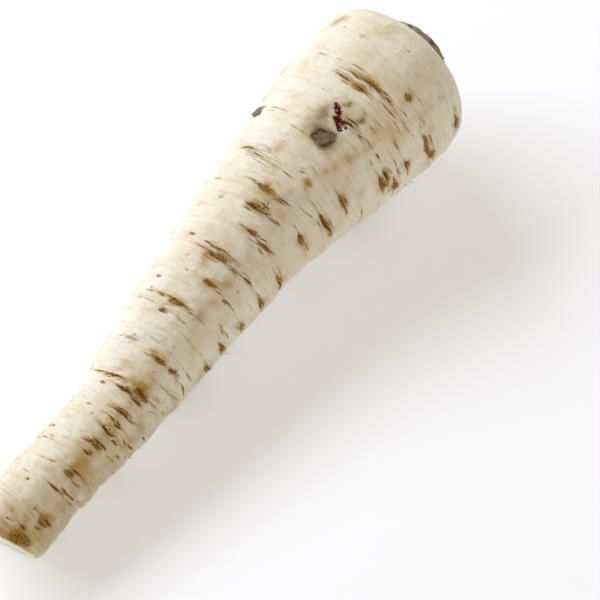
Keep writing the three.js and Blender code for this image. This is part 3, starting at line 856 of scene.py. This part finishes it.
husk, tree, surface = new_finish("dry_stalk_husk")
straight_place = mark("straight", "Vector")
scales = grained(.6, 3, 4, 2.6)
threads = grained(2.5, .3, 3, 2.8)
husk_colour = coated((.66, .56, .42, 1), [
    (grained(3, 4, 3, 2), 1, (.45, .36, .25, 1)),
    (step(scales, .5, .8), .85, (.17, .11, .06, 1)),
    (step(threads, .55, .85), .7, (.80, .71, .56, 1)),
    # Near-black painted shade in the sunken spots between the scales.
    (step(mark("hollow_shade"), .45, 1), .85, (.055, .034, .018, 1)),
])
set_inputs(surface, {
    "Base Color": husk_colour,
    "Roughness": .88,
    "Normal": bumped(sums("ADD", scales, times(threads, .5)), .8, .0004),
    "Specular IOR Level": .2})
crown_collar.data.materials.append(husk)
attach(crown_collar, "root")
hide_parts("leaf_stalk_crown")

# ---------------------------------------------------------------------------------------------
# The stalk stubs: the feet of the cut leaf stalks, each a thick channel with its groove turned to
# the middle. They dried where they stood and frayed at the knife's edge.

# Angle, radius of its place, outer radius, height of its cut above the seat's rim.
STUBS = [
    (20, 5.8, 2.8, 5.9), (92, 6.1, 2.6, 5.4), (163, 5.7, 2.8, 7.4), (235, 6, 2.6, 6.8),
    (306, 5.8, 2.7, 6.5), (60, 1.7, 1.6, 6.6), (215, 1.8, 1.7, 7.4),
]
STUB_WRAP = math.radians(230)
STUB_WALL = 1.1
STUB_FOOT = 1.2


def move_into(whole, shape):
    """Adds a finished shape to a larger one."""
    mesh = into_mesh(shape, "shape")
    whole.from_mesh(mesh)
    bpy.data.meshes.remove(mesh)


stubs = bmesh.new()
stubs.verts.layers.float_vector.new("straight")
stubs.verts.layers.float.new("hollow_shade")
for number, (turned, away, outer, top) in enumerate(STUBS):
    sheet = bmesh.new()
    bmesh.ops.create_grid(sheet, x_segments=22, y_segments=14, size=.5)
    bmesh.ops.solidify(sheet, geom=sheet.faces, thickness=-.2)
    bmesh.ops.subdivide_edges(sheet, edges=rising_edges(sheet, .1), cuts=3, use_grid_fill=True)
    thick = max(abs(corner.co.z) for corner in sheet.verts)
    sheet_straight = sheet.verts.layers.float_vector.new("straight")
    sheet_hollow_shade = sheet.verts.layers.float.new("hollow_shade")
    centre = np.radians(turned)
    for corner in sheet.verts:
        across, up, depth = corner.co.x, corner.co.y + .5, abs(corner.co.z) / thick
        wrap = across * STUB_WRAP
        strands = noise.noise(Vector((9 * wrap, up * 1.5, number * 5.1)))
        wall = (outer - STUB_WALL * depth) * (1 + .07 * strands)
        wall *= 1 - .12 * up * abs(2 * across) ** 2
        ragged = .55 * noise.noise(Vector((5 * wrap, 3 * depth, number * 3.7)))
        high = STUB_FOOT + (top - .25 - STUB_FOOT + ragged * up ** 3 - .5 * up ** 3) * up
        lean = .35 * up * up
        out_ = away + wall * math.cos(wrap) + lean
        side = wall * math.sin(wrap)
        right_ = CROWN_OFFSET + out_ * math.sin(centre) + side * math.cos(centre)
        up_ = out_ * math.cos(centre) - side * math.sin(centre)
        corner[sheet_straight] = Vector((3 * wrap + number * 7, high * .4, depth * 2))
        # Painted shade: darker towards the stub's foot among the others, and in the furrows between its
        # strands.
        corner[sheet_hollow_shade] = min(1, max(0, .35 - strands + (1 - up) * .6))
        spot = onto_middle_line(np.array([right_]), np.array([seat_rim_at + high]), np.array([up_]))[0]
        corner.co = Vector(spot) * MM
    bmesh.ops.recalc_face_normals(sheet, faces=sheet.faces)
    for face in sheet.faces:
        face.smooth = True
    move_into(stubs, sheet)
stalk_stubs = set_out(into_mesh(stubs, "stalk_stubs"))

stalk, tree, surface = new_finish("dry_stalk")
straight_place = mark("straight", "Vector")
threads = grained(.35, 2.5, 3, 2.4)
stalk_colour = coated((.50, .40, .24, 1), [
    (grained(2.5, 2.5, 3, 2), 1, (.33, .24, .13, 1)),
    (step(threads, .45, .8), .7, (.17, .11, .055, 1)),
    # Painted shade at the stubs' feet and in their furrows.
    (mark("hollow_shade"), .8, (.07, .042, .02, 1)),
])
set_inputs(surface, {
    "Base Color": stalk_colour,
    "Roughness": .8,
    "Normal": bumped(threads, .7, .0003),
    "Specular IOR Level": .25})
stalk_stubs.data.materials.append(stalk)
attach(stalk_stubs, "root")

# ---------------------------------------------------------------------------------------------
# Loose fibres of the dead stalks on the crown, and a few hair-thin rootlets left on the skin.
# They are dry, curled, and only a tenth of a millimetre thick.

CROWN_FIBRES = 170
# Rootlets: distance, angle, length.
ROOTLETS = [
    (35, 104, 1.6), (38.6, 108, 1.4), (67, 104, 1.4), (146.5, 103, 1.8), (156, 104, 1.2), (120, 130, 3),
    (95, 255, 3.5), (140, 245, 3), (30, 240, 2.5), (75, 120, 2.5), (110, 260, 3), (152, 125, 3.5),
]


def hair(whole, base, heading, length, thickness, curl, seed):
    """A thin tapering fibre that starts at base and bends as it goes."""
    strand = bmesh.new()
    bmesh.ops.create_cone(strand, cap_ends=True, cap_tris=True, segments=4, radius1=thickness,
                          radius2=thickness * .3, depth=1)
    bmesh.ops.subdivide_edges(strand, edges=rising_edges(strand), cuts=4, use_grid_fill=True)
    forward = Vector(heading).normalized()
    side = forward.orthogonal().normalized()
    other = forward.cross(side)
    bend = side * math.cos(seed) + other * math.sin(seed)
    for corner in strand.verts:
        share = corner.co.z + .5
        flat = side * corner.co.x + other * corner.co.y
        corner.co = Vector(base) + forward * (share * length) + flat + bend * curl * length * share ** 2
    move_into(whole, strand)


fibres = bmesh.new()
for _ in range(CROWN_FIBRES):
    turned = scatter.uniform(0, 2 * math.pi)
    out_, high = scatter.choice([(11.2, 2.2), (10.9, 3.4), (10.4, 4.6), (9.3, 4.6), (6.5, 2.4)])
    out_ += scatter.uniform(-.3, .2)
    right_, up_ = CROWN_OFFSET + out_ * math.sin(turned), out_ * math.cos(turned)
    base, ahead, beyond = onto_middle_line(
        np.array([right_, right_ + math.cos(turned), right_]),
        np.array([seat_rim_at + high] * 2 + [seat_rim_at + high + 1]),
        np.array([up_, up_ - math.sin(turned), up_])) * MM
    heading = (ahead - base) * scatter.uniform(-1, 1) + (beyond - base) * scatter.uniform(.1, .6)
    length = scatter.uniform(.4, 1.3) * MM
    hair(fibres, base, heading, length, .09 * MM, scatter.uniform(-.3, .3), scatter.uniform(0, 6))
for distance_, turned, length in ROOTLETS:
    around = math.radians(turned)
    at = np.array([float(distance_)])
    out_ = float(even_radius(at)[0] + broad_relief(at, np.array([float(turned)]))[0]) - .25
    ends = np.array([out_, out_ + 1])
    base, beyond = onto_middle_line(ends * math.sin(around), np.array([at[0], at[0] + .8]),
                                    ends * math.cos(around)) * MM
    hair(fibres, base, beyond - base, length * MM, .1 * MM, scatter.uniform(.2, .5),
         scatter.uniform(0, 6))
bmesh.ops.recalc_face_normals(fibres, faces=fibres.faces)
dry_fibres = set_out(into_mesh(fibres, "dry_fibres"))

fibre_finish, tree, surface = new_finish("dry_fibre")
object_place = wire("ShaderNodeTexCoord", {}, "Object")
spots = wire("ShaderNodeTexNoise", {"Vector": object_place, "Scale": 900.0, "Detail": 2.0})
set_inputs(surface, {
    "Base Color": coated((.42, .33, .20, 1), [(step(spots, .35, .65), 1, (.13, .085, .045, 1))]),
    "Roughness": .75})
dry_fibres.data.materials.append(fibre_finish)
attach(dry_fibres, "root")

# ---------------------------------------------------------------------------------------------
# The table and the light: a plain white sweep, one long soft light low on the root's left, and
# an even pale surround that keeps the shaded side open.

table = bmesh.new()
bmesh.ops.create_grid(table, x_segments=1, y_segments=1, size=3)
floor = set_out(into_mesh(table, "floor"))
paper, tree, surface = new_finish("white_paper")
set_inputs(surface, {
    "Base Color": (.90, .92, .97, 1),
    "Roughness": .6,
    "Specular IOR Level": .1,
    "Emission Color": (.93, .98, 1.08, 1),
    "Emission Strength": .25})
floor.data.materials.append(paper)

KEY_HEIGHT = math.radians(36)
KEY_DISTANCE = 1.2
KEY_AIM = Vector((.06, 0, .02))
key = bpy.data.lights.new("key", "AREA")
key.shape = "RECTANGLE"
key.size, key.size_y = 1.4, .4
key.energy = 11
key.color = (.94, 1, 1.15)
key_light = bpy.data.objects.new("key", key)
key_light.location = KEY_AIM + KEY_DISTANCE * Vector((0, math.cos(KEY_HEIGHT), math.sin(KEY_HEIGHT)))
key_light.rotation_euler = (-(math.pi / 2 - KEY_HEIGHT), 0, 0)
bpy.context.scene.collection.objects.link(key_light)

surround = bpy.data.worlds.new("surround")
surround.use_nodes = True
set_inputs(surround.node_tree.nodes["Background"], {"Color": (1, .88, .69, 1), "Strength": .51})
bpy.context.scene.world = surround
bpy.context.scene.view_settings.view_transform = "Standard"
